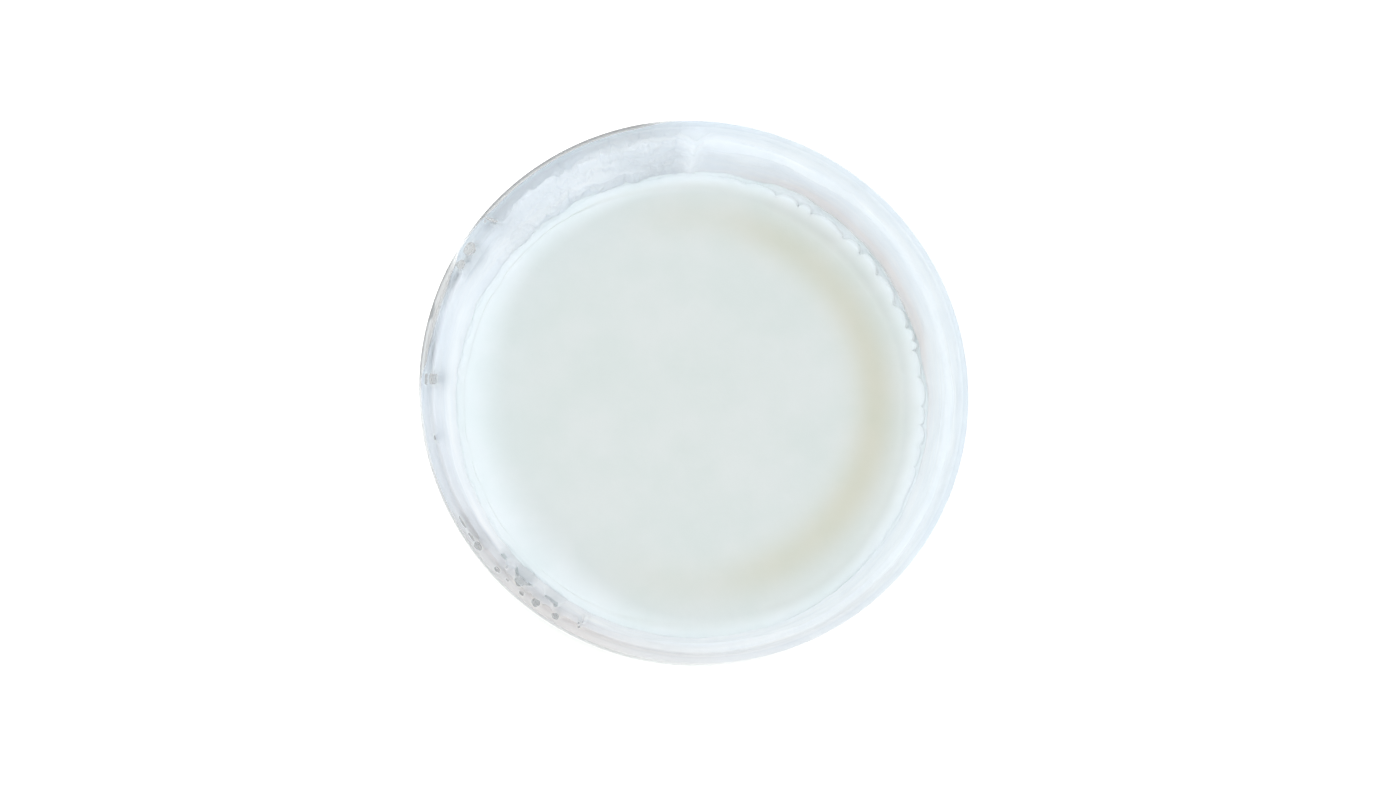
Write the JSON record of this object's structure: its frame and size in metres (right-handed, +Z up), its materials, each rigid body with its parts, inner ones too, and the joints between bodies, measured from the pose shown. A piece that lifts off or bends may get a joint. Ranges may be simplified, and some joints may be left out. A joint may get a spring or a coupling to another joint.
{
  "type": "open plastic tub of frosting",
  "caption": "Round clear tub with a tapered wall and a snap-lid lip, open and filled with white frosting that is smeared up the wall and over the lip.",
  "frame": {"origin": "middle of the foot ring, on the surface that the tub stands on", "axes": "+Z up through the open top, +Y away from the picture's camera, +X to its right"},
  "size_m": [0.117, 0.117, 0.0742],
  "materials": {
    "clear_plastic": "clear, faintly milky, smooth",
    "frosting": "soft satin cream"
  },
  "bodies": {
    "root": {"tub": "clear_plastic", "frosting": "frosting"}
  },
  "joints": []
}
